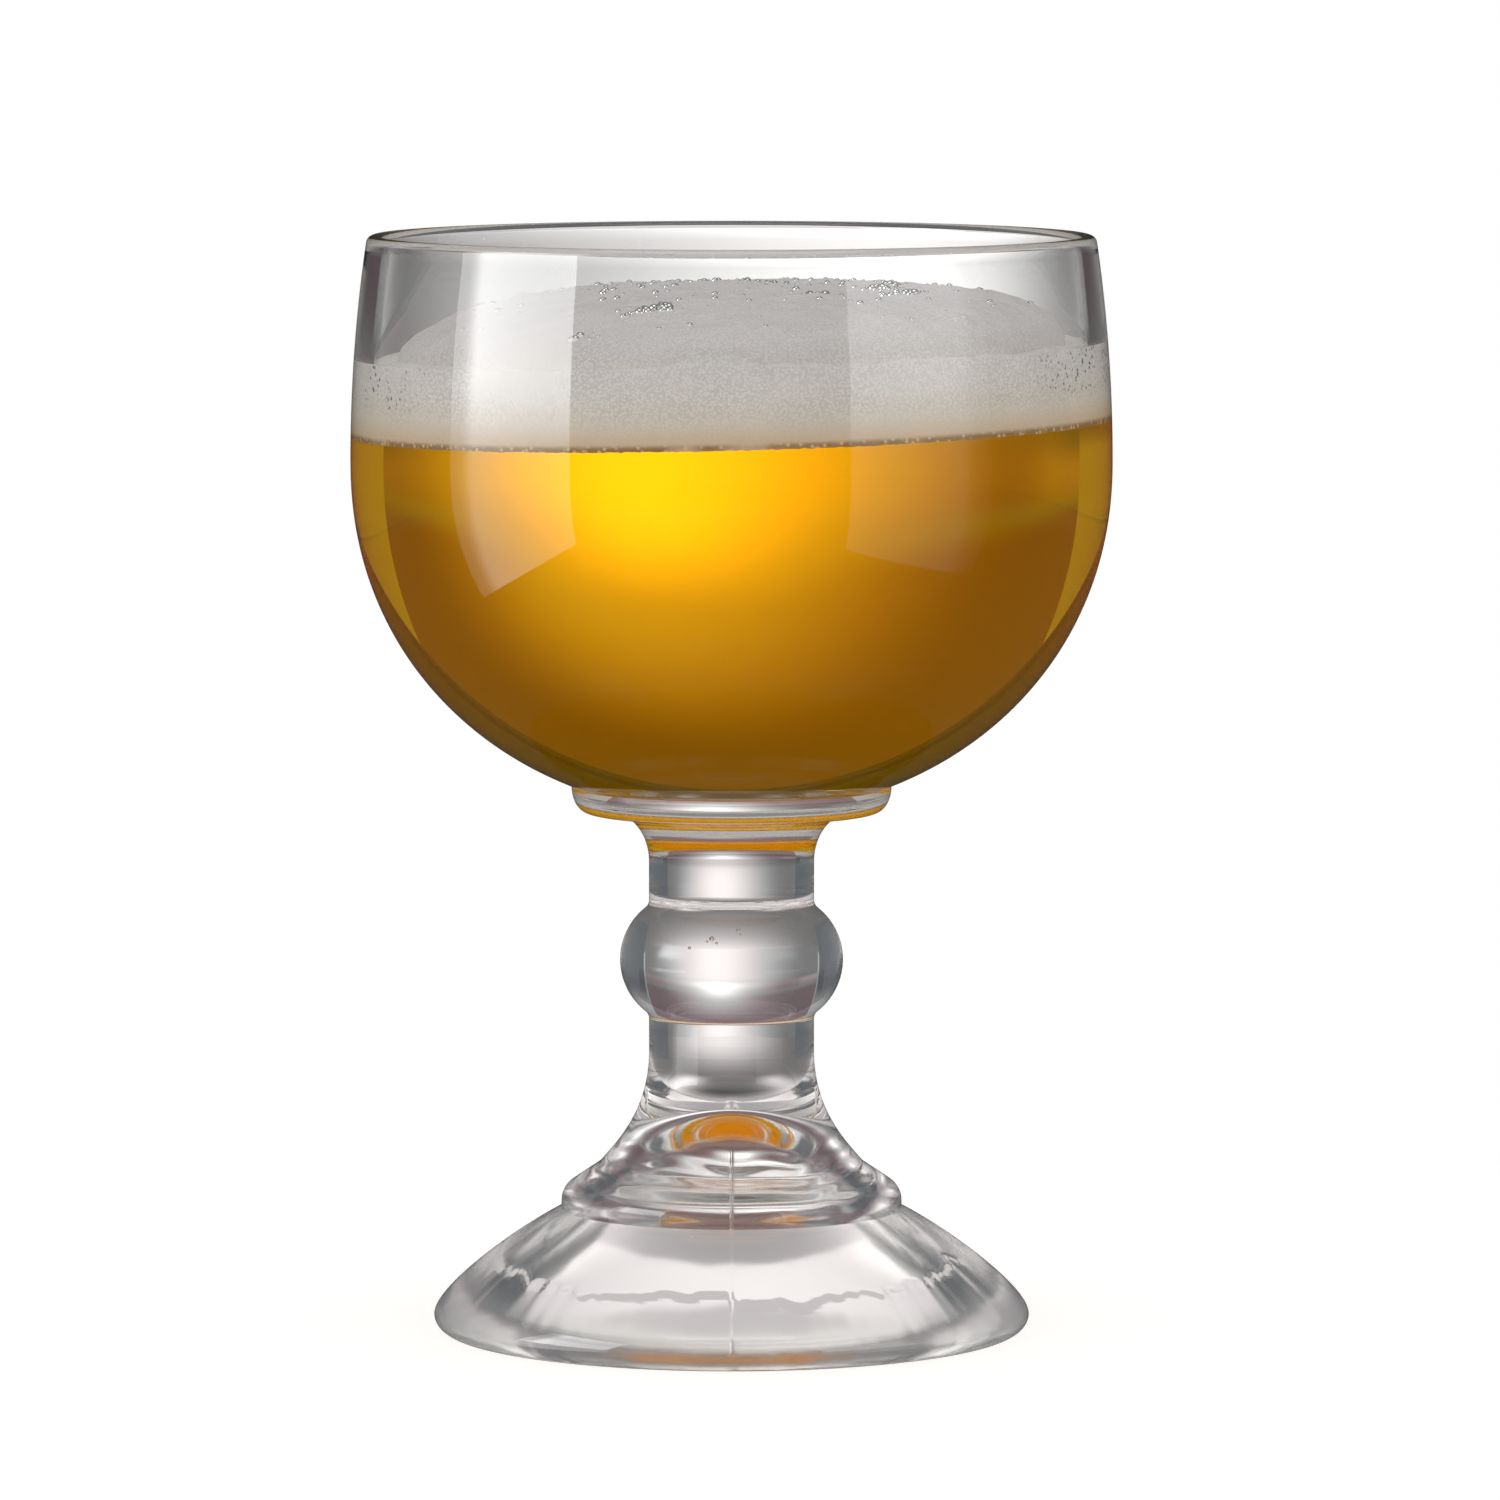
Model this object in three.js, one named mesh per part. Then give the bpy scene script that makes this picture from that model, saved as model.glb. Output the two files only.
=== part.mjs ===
// Beer schooner on a knopped stem, served full. A blown bowl is fused to a collar, a pressed stem
// and a hollow pressed foot, and holds beer under a standing head of foam.
// Millimetres, +Z up, with the origin at the centre of the ring that the foot stands on.

import * as THREE from 'three';

// Foot: a pressed bell of glass, open underneath
const FOOT_HEIGHT = 42.5;
const FOOT_RADIUS = 44.8;
const EDGE_WIDTH = 3.2;
const EDGE_HEIGHT = 2.65;
const STANDING_WIDTH = 3.5;
const SKIRT_SLOPE = 27;
const RING_RADIUS = 25.6;
const RING_BASE_HEIGHT = 18.7;
const RING_SIDE = 1.1;
const RING_ROUND = 3.4;
const LEDGE_SLOPE = 34;
const LEDGE_RADIUS = 19.9;
const FLARE_SLOPE = 48;
const CROWN_THICKNESS = 10.2;
const BELL_SLOPE = 43;

// Stem: a solid pressed column with one ball knop
const STEM_HEIGHT = 36;
const NECK_RADIUS = 12.4;
const KNOP_HEIGHT = 13.7;
const KNOP_SWELL = 4.35;
const KNOP_ROUND = 9.8;
const KNOP_FILLET = 1.7;
const COVE_HEIGHT = 7.5;

// Collar: the disc of glass that joins the stem to the bowl
const COLLAR_HEIGHT = 3.75;
const COLLAR_RADIUS = 24;
const COLLAR_ROUND = 2;
const COLLAR_OVERHANG = 5.6;

// Bowl: its fullness is the exponent of the lower curve, where 2 is a plain ellipse
const BOWL_HEIGHT = 82.75;
const BOWL_INSET = 0.7;
const BOWL_FULLNESS = 2.1;
const BELLY_HEIGHT = 48.7;
const BELLY_RADIUS = 57;
const RIM_RADIUS = 54.6;
const RIM_WALL = 2.5;
const BELLY_WALL = 2.8;
const FLOOR_THICKNESS = 5.5;

// Contents: the beer, and the foam, which has a level ledge at the wall and a mound inside it. The
// mound's steepness is the exponent of its shoulder, which the bias raises at +X and lowers at -X.
const BEER_DEPTH = 48;
const FOAM_EDGE_DEPTH = 12;
const FOAM_LEDGE = 3.55;
const MOUND_HEIGHT = 9.2;
const MOUND_STEEPNESS = 4.3;
const MOUND_BIAS = 1.87;
const LEVEL_LEAN = 1.5;
const CONTENTS_CLEARANCE = 0.3;

// How far each curve's ends hold their direction, as shares of its span
const BELL_CROWN_PULL = 0.2;
const BELL_MOUTH_PULL = 0.44;
const SKIRT_EDGE_PULL = 0.13;
const SKIRT_TOP_PULL = 0.34;
const FLARE_FOOT_PULL = 0.3;
const FLARE_NECK_PULL = 0.5;

// Facets: steps round the axis, and along each kind of curve
const TURN_STEPS = 48;
const BELL_STEPS = 12;
const SWEEP_STEPS = 6;
const ROUND_STEPS = 4;
const BOWL_STEPS = 11;
const WALL_STEPS = 5;
const MOUND_STEPS = 8;

const NEAR_ZERO = 1e-6;

const standingRadius = FOOT_RADIUS - EDGE_WIDTH;
const bowlBaseRadius = COLLAR_RADIUS - BOWL_INSET;
const stemTopRadius = COLLAR_RADIUS - COLLAR_OVERHANG;
const rimHeight = BOWL_HEIGHT - RIM_WALL / 2;
const beerLevel = FLOOR_THICKNESS + BEER_DEPTH;
const foamEdgeHeight = beerLevel + FOAM_EDGE_DEPTH;

const radians = THREE.MathUtils.degToRad;
const point = (radius, height) => new THREE.Vector2(radius, height);

// A point at a distance from another, towards an angle above the radial direction
function reach(start, angle, distance) {
  return point(start.x + Math.cos(angle) * distance, start.y + Math.sin(angle) * distance);
}

function arc(centre, radialSize, heightSize, fromDegrees, toDegrees, steps) {
  const clockwise = toDegrees < fromDegrees;
  const curve = new THREE.EllipseCurve(
    centre.x, centre.y, radialSize, heightSize, radians(fromDegrees), radians(toDegrees), clockwise,
  );
  return curve.getPoints(steps);
}

function sweep(start, startPull, endPull, end, steps) {
  return new THREE.CubicBezierCurve(start, startPull, endPull, end).getPoints(steps);
}

// Turns an outline, listed from the axis round the outside and back to the axis, into a solid
function turned(outline) {
  const onAxis = outline.map((p) => point(p.x < NEAR_ZERO ? 0 : p.x, p.y));
  const distinct = onAxis.filter((p, i) => i === 0 || p.distanceTo(onAxis[i - 1]) > NEAR_ZERO);
  const solid = new THREE.LatheGeometry(distinct, TURN_STEPS);
  return solid.rotateX(Math.PI / 2);
}

function footOutline() {
  const bellCrown = point(0, FOOT_HEIGHT - CROWN_THICKNESS);
  const bellMouth = point(standingRadius - STANDING_WIDTH, 0);
  const bellSpan = bellCrown.distanceTo(bellMouth);
  const bell = sweep(
    bellCrown,
    reach(bellCrown, 0, bellSpan * BELL_CROWN_PULL),
    reach(bellMouth, radians(180 - BELL_SLOPE), bellSpan * BELL_MOUTH_PULL),
    bellMouth,
    BELL_STEPS,
  );

  const edge = arc(point(standingRadius, EDGE_HEIGHT), EDGE_WIDTH, EDGE_HEIGHT, -90, 0, ROUND_STEPS);
  const skirtEdge = point(FOOT_RADIUS, EDGE_HEIGHT);
  const ringBase = point(RING_RADIUS, RING_BASE_HEIGHT);
  const skirtSpan = skirtEdge.distanceTo(ringBase);
  const skirt = sweep(
    skirtEdge,
    reach(skirtEdge, radians(90), skirtSpan * SKIRT_EDGE_PULL),
    reach(ringBase, radians(-SKIRT_SLOPE), skirtSpan * SKIRT_TOP_PULL),
    ringBase,
    SWEEP_STEPS,
  );

  const ringCentre = point(RING_RADIUS - RING_ROUND, RING_BASE_HEIGHT + RING_SIDE);
  const ring = arc(ringCentre, RING_ROUND, RING_ROUND, 0, 90 - LEDGE_SLOPE, ROUND_STEPS);
  const ringTop = ring[ring.length - 1];
  const ledgeRise = (ringTop.x - LEDGE_RADIUS) * Math.tan(radians(LEDGE_SLOPE));
  const ledge = point(LEDGE_RADIUS, ringTop.y + ledgeRise);

  const neck = point(NECK_RADIUS, FOOT_HEIGHT);
  const flareHeight = neck.y - ledge.y;
  const flare = sweep(
    ledge,
    reach(ledge, radians(180 - FLARE_SLOPE), flareHeight * FLARE_FOOT_PULL),
    reach(neck, radians(-90), flareHeight * FLARE_NECK_PULL),
    neck,
    SWEEP_STEPS,
  );
  return [...bell, ...edge, ...skirt, ...ring, ...flare, point(0, FOOT_HEIGHT)];
}

function stemOutline() {
  // The knop's arc meets the neck through fillets, whose centres lie out from the neck
  const knopCentre = point(NECK_RADIUS + KNOP_SWELL - KNOP_ROUND, KNOP_HEIGHT);
  const filletRadius = NECK_RADIUS + KNOP_FILLET;
  const run = filletRadius - knopCentre.x;
  const rise = Math.sqrt((KNOP_ROUND + KNOP_FILLET) ** 2 - run ** 2);
  const turn = THREE.MathUtils.radToDeg(Math.atan2(rise, run));
  const lowCentre = point(filletRadius, KNOP_HEIGHT - rise);
  const highCentre = point(filletRadius, KNOP_HEIGHT + rise);
  const low = arc(lowCentre, KNOP_FILLET, KNOP_FILLET, 180, 180 - turn, ROUND_STEPS);
  const knop = arc(knopCentre, KNOP_ROUND, KNOP_ROUND, -turn, turn, 2 * ROUND_STEPS);
  const high = arc(highCentre, KNOP_FILLET, KNOP_FILLET, 180 + turn, 180, ROUND_STEPS);

  const coveCentre = point(stemTopRadius, STEM_HEIGHT - COVE_HEIGHT);
  const cove = arc(coveCentre, stemTopRadius - NECK_RADIUS, COVE_HEIGHT, 180, 90, ROUND_STEPS);
  return [point(0, 0), point(NECK_RADIUS, 0), ...low, ...knop, ...high, ...cove, point(0, STEM_HEIGHT)];
}

function collarOutline() {
  const round = Math.min(COLLAR_ROUND, COLLAR_HEIGHT);
  const edge = arc(point(COLLAR_RADIUS - round, round), round, round, -90, 0, ROUND_STEPS);
  return [point(0, 0), ...edge, point(COLLAR_RADIUS, COLLAR_HEIGHT), point(0, COLLAR_HEIGHT)];
}

// Radius below the belly: the curve reaches the axis at its full depth
function lowerRadius(bellyRadius, depth, drop) {
  return bellyRadius * (1 - (drop / depth) ** BOWL_FULLNESS) ** (1 / BOWL_FULLNESS);
}

// Radius above the belly: the wall draws in to the rim with the square of the height
function upperRadius(bellyRadius, rimRadius, height) {
  const share = (height - BELLY_HEIGHT) / (rimHeight - BELLY_HEIGHT);
  return bellyRadius - (bellyRadius - rimRadius) * share ** 2;
}

function innerRadius(height) {
  const bellyRadius = BELLY_RADIUS - BELLY_WALL;
  if (height > BELLY_HEIGHT) {
    return upperRadius(bellyRadius, RIM_RADIUS - RIM_WALL, height);
  }
  return lowerRadius(bellyRadius, BELLY_HEIGHT - FLOOR_THICKNESS, BELLY_HEIGHT - height);
}

// Heights from low to high that crowd together at the low end, where the bowl turns fastest
function easedHeights(low, high, steps) {
  const shares = Array.from({ length: steps + 1 }, (_, i) => 1 - Math.cos((i / steps) * (Math.PI / 2)));
  return shares.map((share) => low + (high - low) * share);
}

function bowlOutline() {
  // The lower curve is cut off by the flat base, which fixes how deep the whole curve would be
  const baseShare = (bowlBaseRadius / BELLY_RADIUS) ** BOWL_FULLNESS;
  const depth = BELLY_HEIGHT / (1 - baseShare) ** (1 / BOWL_FULLNESS);
  const outerLow = easedHeights(0, BELLY_HEIGHT, BOWL_STEPS)
    .map((height) => point(lowerRadius(BELLY_RADIUS, depth, BELLY_HEIGHT - height), height));
  const wallHeights = easedHeights(rimHeight, BELLY_HEIGHT, WALL_STEPS).reverse();
  const outerHigh = wallHeights.map((height) => point(upperRadius(BELLY_RADIUS, RIM_RADIUS, height), height));
  const lipCentre = point(RIM_RADIUS - RIM_WALL / 2, rimHeight);
  const lip = arc(lipCentre, RIM_WALL / 2, RIM_WALL / 2, 0, 180, ROUND_STEPS);
  const innerHigh = wallHeights.map((height) => point(innerRadius(height), height)).reverse();
  const innerLow = easedHeights(FLOOR_THICKNESS, BELLY_HEIGHT, BOWL_STEPS)
    .map((height) => point(innerRadius(height), height))
    .reverse();
  return [point(0, 0), ...outerLow, ...outerHigh, ...lip, ...innerHigh, ...innerLow];
}

function beerOutline() {
  const bottom = FLOOR_THICKNESS + CONTENTS_CLEARANCE;
  const side = easedHeights(bottom, beerLevel, BOWL_STEPS).map((height) => {
    const radius = innerRadius(height - CONTENTS_CLEARANCE) - CONTENTS_CLEARANCE;
    return point(Math.max(radius, 0), height);
  });
  return [...side, point(0, beerLevel)];
}

const foamEdgeRadius = innerRadius(foamEdgeHeight) - CONTENTS_CLEARANCE;
const moundRadius = foamEdgeRadius - FOAM_LEDGE;

// The foam with a level top. Its rings crowd together at the mound's shoulder.
function foamOutline() {
  const bottom = beerLevel + CONTENTS_CLEARANCE;
  const side = easedHeights(bottom, foamEdgeHeight, WALL_STEPS)
    .map((height) => point(innerRadius(height) - CONTENTS_CLEARANCE, height));
  const top = Array.from({ length: MOUND_STEPS + 1 }, (_, i) => {
    const share = Math.cos((i / MOUND_STEPS) * (Math.PI / 2));
    return point(moundRadius * share, foamEdgeHeight);
  });
  return [point(0, bottom), ...side, ...top];
}

// Height of the mound above the foam's ledge
function moundRise(x, y) {
  const distance = Math.max(Math.hypot(x, y), NEAR_ZERO);
  const spread = Math.min(distance / moundRadius, 1);
  const steepness = MOUND_STEEPNESS * MOUND_BIAS ** (x / distance);
  return MOUND_HEIGHT * Math.sqrt(1 - spread ** steepness);
}

// How far the level of the beer and the foam climbs towards +X
function lean(x) {
  return x * Math.tan(radians(LEVEL_LEAN));
}

// Raises every point at or above a height by a lift that depends on its place
function raised(solid, fromHeight, lift) {
  const places = solid.attributes.position;
  for (let i = 0; i < places.count; i += 1) {
    if (places.getZ(i) > fromHeight - NEAR_ZERO) {
      places.setZ(i, places.getZ(i) + lift(places.getX(i), places.getY(i)));
    }
  }
  return solid;
}

function piece(name, solid, finish) {
  const mesh = new THREE.Mesh(solid, new THREE.MeshStandardMaterial(finish));
  mesh.name = name;
  return mesh;
}

const CLEAR_GLASS = { color: 0xf1f3f0, roughness: 0.04, metalness: 0, transparent: true, opacity: 0.35 };
const AMBER_BEER = { color: 0xd99012, roughness: 0.1, metalness: 0, transparent: true, opacity: 0.85 };
const WHITE_FOAM = { color: 0xf2ece4, roughness: 0.85, metalness: 0 };

const foot = piece('foot', turned(footOutline()), CLEAR_GLASS);
const stem = piece('stem', turned(stemOutline()), CLEAR_GLASS);
const collar = piece('collar', turned(collarOutline()), CLEAR_GLASS);
const bowl = piece('bowl', turned(bowlOutline()), CLEAR_GLASS);
const beer = piece('beer', raised(turned(beerOutline()), beerLevel, lean), AMBER_BEER);
const moundedFoam = raised(turned(foamOutline()), foamEdgeHeight, moundRise);
const foam = piece('foam_head', raised(moundedFoam, beerLevel, lean), WHITE_FOAM);

const vessel = new THREE.Group();
vessel.add(bowl, beer, foam);

stem.position.z = FOOT_HEIGHT;
collar.position.z = stem.position.z + STEM_HEIGHT;
vessel.position.z = collar.position.z + COLLAR_HEIGHT;

const schooner = new THREE.Group();
schooner.add(foot, stem, collar, vessel);

export default schooner;
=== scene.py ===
import math

import bmesh
import bpy
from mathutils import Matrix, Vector, noise


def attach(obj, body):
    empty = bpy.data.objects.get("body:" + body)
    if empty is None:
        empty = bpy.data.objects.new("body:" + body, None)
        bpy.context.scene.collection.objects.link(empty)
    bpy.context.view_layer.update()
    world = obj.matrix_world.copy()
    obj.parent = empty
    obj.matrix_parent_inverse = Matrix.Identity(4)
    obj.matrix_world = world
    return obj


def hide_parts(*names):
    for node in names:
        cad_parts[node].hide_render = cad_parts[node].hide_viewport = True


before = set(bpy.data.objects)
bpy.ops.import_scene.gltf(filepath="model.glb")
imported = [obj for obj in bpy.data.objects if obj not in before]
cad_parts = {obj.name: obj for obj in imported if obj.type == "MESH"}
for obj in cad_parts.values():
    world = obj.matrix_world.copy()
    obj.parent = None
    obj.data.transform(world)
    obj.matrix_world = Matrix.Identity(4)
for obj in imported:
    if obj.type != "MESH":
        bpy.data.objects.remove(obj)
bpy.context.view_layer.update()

# Foot. A hollow bell of clear soda glass, pressed in a two-part mould that leaves a fine seam down its
# front and back. It is open underneath, stands on a narrow flat ring, and is fused to the stem on top.
MM = 0.001
FRONT = -math.pi / 2
BACK = math.pi / 2
FOOT_HEIGHT = 42.5
FOOT_RADIUS = 44.8
FOOT_EDGE = (3.2, 2.65)
STANDING_WIDTH = 3.5
SKIRT_SLOPE = 27
RING_RADIUS = 25.6
RING_BASE = 18.7
RING_SIDE = 1.1
RING_ROUND = 3.4
LEDGE_RADIUS = 19.9
LEDGE_SLOPE = 34
FLARE_SLOPE = 48
NECK_RADIUS = 12.4
HOLLOW_CROWN = 32.3
BELL_SLOPE = 43
BELL_PULLS = (0.2, 0.44)
SKIRT_PULLS = (0.13, 0.34)
FLARE_PULLS = (0.3, 0.5)
SEAM_HEIGHT = 0.18
SEAM_WIDTH = 0.2
SEAM_FADE = (27, 33)
SEAM_STEP = 0.2
SEAM_STEPS = 12
RIPPLE_DEPTH = 0.08
RIPPLE_PITCH = 2.3
RIPPLE_START = (15, 20)
RIPPLE_END = (25, 29)
RIPPLE_DRIFT = (1.7, 0.05)
CHILL_LINE = 6.6
CHILL_WAVES = ((1.5, 2.3, (0, 0, 0)), (1.0, 7.1, (4, 0, 0)), (0.7, 19, (0, 5, 0)), (0.15, 45, (0, 0, 0)))
CHILL_STEP = 0.4
CHILL_SLOPE = 0.07
CHILL_FADE = 1.5
SCUFF_HEIGHTS = (0.8, 5)
SCUFF_ROUGHNESS = 0.13
SCUFF_TINT = (0.88, 0.92, 0.89, 1)
SMEAR_SHADE = 0.985
HOLLOW_HAZE = 0.1
GLASS_INDEX = 1.5
GLASS_TINT = (0.978, 0.985, 0.98, 1)
GLASS_SHADOW = (0.96, 0.965, 0.96, 1)
SAME_PLACE = 1e-4
SHARP_ANGLE = 32


def arc(centre, width, height, start, end, steps):
    """Points (radius, height) on an ellipse, between two angles in degrees."""
    turns = [math.radians(start + (end - start) * i / steps) for i in range(steps + 1)]
    return [(centre[0] + width * math.cos(a), centre[1] + height * math.sin(a)) for a in turns]


def reach(start, degrees, distance):
    angle = math.radians(degrees)
    return start[0] + math.cos(angle) * distance, start[1] + math.sin(angle) * distance


def sweep(start, start_pull, end_pull, end, steps):
    """Points on a cubic curve that leaves its ends towards the two pulls."""
    places = []
    for i in range(steps + 1):
        t = i / steps
        u = 1 - t
        weights = (u ** 3, 3 * t * u * u, 3 * t * t * u, t ** 3)
        knots = (start, start_pull, end_pull, end)
        places.append(tuple(sum(w * k[axis] for w, k in zip(weights, knots)) for axis in (0, 1)))
    return places


def turn_angles(count, seams=()):
    """Even angles round the axis, with closer ones across each mould seam."""
    angles = [2 * math.pi * i / count - math.pi for i in range(count)]
    for seam in seams:
        angles = [a for a in angles if abs(a - seam) > math.radians(SEAM_STEP * (SEAM_STEPS + 1))]
        angles += [seam + math.radians(SEAM_STEP * i) for i in range(-SEAM_STEPS, SEAM_STEPS + 1)]
    return sorted(angles)


def turned(name, stretches, finishes, angles):
    """A closed solid turned about the axis from an outline that starts and ends on it.

    A stretch of the outline has its points (radius, height), the number of its finish, and a relief that
    moves a point at an angle round the axis, or None.
    """
    rings = []
    for points, finish, relief in stretches:
        for point in points:
            if not rings or math.dist(point, rings[-1][0]) > SAME_PLACE:
                rings.append((point, finish, relief))
    places, rows = [], []
    for (radius, height), finish, relief in rings:
        on_axis = radius < SAME_PLACE
        row = []
        for angle in angles[:1] if on_axis else angles:
            r, h = relief(radius, height, angle) if relief else (radius, height)
            row.append(len(places))
            places.append((r * math.cos(angle) * MM, r * math.sin(angle) * MM, h * MM))
        rows.append(row * len(angles) if on_axis else row)
    faces, numbers = [], []
    count = len(angles)
    for low, high, ring in zip(rows, rows[1:], rings[1:]):
        for i in range(count):
            j = (i + 1) % count
            corners = list(dict.fromkeys((low[i], low[j], high[j], high[i])))
            if len(corners) > 2:
                faces.append(corners)
                numbers.append(ring[1])
    mesh = bpy.data.meshes.new(name)
    mesh.from_pydata(places, [], faces)
    mesh.polygons.foreach_set("material_index", numbers)
    mesh.polygons.foreach_set("use_smooth", [True] * len(faces))
    for finish in finishes:
        mesh.materials.append(finish)
    shell = bmesh.new()
    shell.from_mesh(mesh)
    if shell.calc_volume(signed=True) < 0:
        bmesh.ops.reverse_faces(shell, faces=shell.faces)
    shell.to_mesh(mesh)
    shell.free()
    mesh.set_sharp_from_angle(angle=math.radians(SHARP_ANGLE))
    piece = bpy.data.objects.new(name, mesh)
    bpy.context.scene.collection.objects.link(piece)
    return piece


class Wire:
    """A socket in a node tree. Sums and products of wires add the Math nodes that work them out."""

    def __init__(self, tree, socket=None):
        self.tree = tree
        self.socket = socket

    def node(self, kind, settings=None, inputs=None, output=0):
        made = self.tree.nodes.new(kind)
        for name, value in (settings or {}).items():
            if name == "stops":
                while len(made.color_ramp.elements) < len(value):
                    made.color_ramp.elements.new(1)
                for stop, (place, colour) in zip(made.color_ramp.elements, value):
                    stop.position = place
                    stop.color = colour
            else:
                setattr(made, name, value)
        for name, value in (inputs or {}).items():
            if isinstance(value, Wire):
                self.tree.links.new(value.socket, made.inputs[name])
            else:
                made.inputs[name].default_value = value
        return Wire(self.tree, made.outputs[output] if made.outputs else None)

    def math(self, operation, *values):
        return self.node("ShaderNodeMath", {"operation": operation}, dict(enumerate(values)))

    def __add__(self, other):
        return self.math("ADD", self, other)

    def __sub__(self, other):
        return self.math("SUBTRACT", self, other)

    def __rsub__(self, other):
        return self.math("SUBTRACT", other, self)

    def __mul__(self, other):
        return self.math("MULTIPLY", self, other)

    __radd__ = __add__
    __rmul__ = __mul__

    def step(self, low, high):
        """0 below low and 1 above high, smooth between."""
        return self.node(
            "ShaderNodeMapRange",
            {"interpolation_type": "SMOOTHSTEP"},
            {"Value": self, "From Min": low, "From Max": high, "To Min": 0, "To Max": 1},
            "Result",
        )

    def tint(self, low, high):
        """One colour where this is 0 and another where it is 1."""
        return self.node(
            "ShaderNodeMix", {"data_type": "RGBA", "clamp_factor": True}, {0: self, 6: low, 7: high}, 2,
        )

    def axes(self):
        split = self.node("ShaderNodeSeparateXYZ", None, {0: self}).socket.node
        return [Wire(self.tree, socket) for socket in split.outputs]


def finish_tree(name):
    material = bpy.data.materials.new(name)
    material.use_nodes = True
    material.node_tree.nodes.clear()
    return material, Wire(material.node_tree)


def clear_glass(name, index, wave_size, wave_depth, smear, haze=0.0):
    """Clear glass with slow waves in its surface and faint smears, through which lamps still shine."""
    material, start = finish_tree(name)
    place = start.node("ShaderNodeTexCoord", output="Object")
    waves = start.node(
        "ShaderNodeTexNoise", None, {"Vector": place, "Scale": 1 / (wave_size * MM), "Detail": 1.0}, 0,
    )
    smears = start.node(
        "ShaderNodeTexNoise",
        None,
        {"Vector": place, "Scale": 220.0, "Detail": 3.0, "Roughness": 0.6},
        0,
    )
    relief = start.node(
        "ShaderNodeBump", None, {"Strength": 1.0, "Distance": wave_depth * MM, "Height": waves}, "Normal",
    )
    near_table = 1 - place.axes()[2].step(*(height * MM for height in SCUFF_HEIGHTS))
    scuffs = SCUFF_ROUGHNESS * near_table
    smeared_tint = tuple(c * SMEAR_SHADE for c in GLASS_TINT[:3]) + (1,)
    tint = smears.step(0.3, 0.8).tint(GLASS_TINT, smeared_tint)
    body = start.node(
        "ShaderNodeBsdfPrincipled",
        None,
        {
            "Base Color": near_table.tint(tint, SCUFF_TINT),
            "Roughness": smears.step(0.52, 0.8) * smear + (scuffs + haze),
            "IOR": index,
            "Transmission Weight": 1.0,
            "Normal": relief,
        },
    )
    for kind in ("Is Diffuse Ray", "Is Shadow Ray"):
        unbent = start.node("ShaderNodeBsdfTransparent", None, {"Color": GLASS_SHADOW})
        lit_by = start.node("ShaderNodeLightPath", output=kind)
        body = start.node("ShaderNodeMixShader", None, {0: lit_by, 1: body, 2: unbent})
    start.node("ShaderNodeOutputMaterial", None, {"Surface": body})
    return material


def fused_joint(name):
    """Where two pieces of glass are fused no surface is left, so light passes unbent."""
    material, start = finish_tree(name)
    body = start.node("ShaderNodeBsdfPrincipled", None, {"Alpha": 0.0, "IOR": GLASS_INDEX})
    start.node("ShaderNodeOutputMaterial", None, {"Surface": body})
    return material


def smooth(value, low, high):
    """0 below low and 1 above high, smooth between."""
    share = min(max((value - low) / (high - low), 0), 1)
    return share * share * (3 - 2 * share)


def mould_seam(radius, height, angle):
    """The ridge that the mould's halves leave, front and back. The fire has melted it away near the stem."""
    apart = min(abs(angle - FRONT), abs(angle - BACK)) * radius
    ridge = SEAM_HEIGHT * (1 - smooth(height, *SEAM_FADE))
    return radius + ridge * math.exp(-((apart / SEAM_WIDTH) ** 2)), height


def chilled_hollow(radius, height, angle):
    """The plunger left rings high in the hollow, and chilled the glass along a wavy step low down."""
    around = Vector((math.cos(angle), math.sin(angle), 0))
    drift = noise.noise(around * RIPPLE_DRIFT[0] + Vector((0, 0, height * RIPPLE_DRIFT[1])))
    rings = RIPPLE_DEPTH * math.sin(2 * math.pi * (height / RIPPLE_PITCH + drift))
    rings *= smooth(height, *RIPPLE_START) * (1 - smooth(height, *RIPPLE_END))
    line = CHILL_LINE
    for size, pace, offset in CHILL_WAVES:
        line += size * noise.noise(around * pace + Vector(offset))
    below = max(line - height, 0) * CHILL_SLOPE
    step = CHILL_STEP * smooth(line - height, -CHILL_STEP, CHILL_STEP)
    return radius + rings - (below + step) * min(height / CHILL_FADE, 1), height


standing_radius = FOOT_RADIUS - FOOT_EDGE[0]
mouth = (standing_radius - STANDING_WIDTH, 0)
crown = (0, HOLLOW_CROWN)
bell_span = math.dist(crown, mouth)
bell = sweep(
    crown,
    reach(crown, 0, BELL_PULLS[0] * bell_span),
    reach(mouth, 180 - BELL_SLOPE, BELL_PULLS[1] * bell_span),
    mouth,
    steps=90,
)
skirt_edge = (FOOT_RADIUS, FOOT_EDGE[1])
ring_base = (RING_RADIUS, RING_BASE)
skirt_span = math.dist(skirt_edge, ring_base)
edge = arc((standing_radius, FOOT_EDGE[1]), *FOOT_EDGE, -90, 0, steps=12)
skirt = sweep(
    skirt_edge,
    reach(skirt_edge, 90, SKIRT_PULLS[0] * skirt_span),
    reach(ring_base, -SKIRT_SLOPE, SKIRT_PULLS[1] * skirt_span),
    ring_base,
    steps=48,
)
ring_centre = (RING_RADIUS - RING_ROUND, RING_BASE + RING_SIDE)
ring = arc(ring_centre, RING_ROUND, RING_ROUND, 0, 90 - LEDGE_SLOPE, steps=14)
ledge_rise = (ring[-1][0] - LEDGE_RADIUS) * math.tan(math.radians(LEDGE_SLOPE))
ledge = (LEDGE_RADIUS, ring[-1][1] + ledge_rise)
flare_height = FOOT_HEIGHT - ledge[1]
neck = (NECK_RADIUS, FOOT_HEIGHT)
flare = sweep(
    ledge,
    reach(ledge, 180 - FLARE_SLOPE, FLARE_PULLS[0] * flare_height),
    reach(neck, -90, FLARE_PULLS[1] * flare_height),
    neck,
    steps=36,
)

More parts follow.
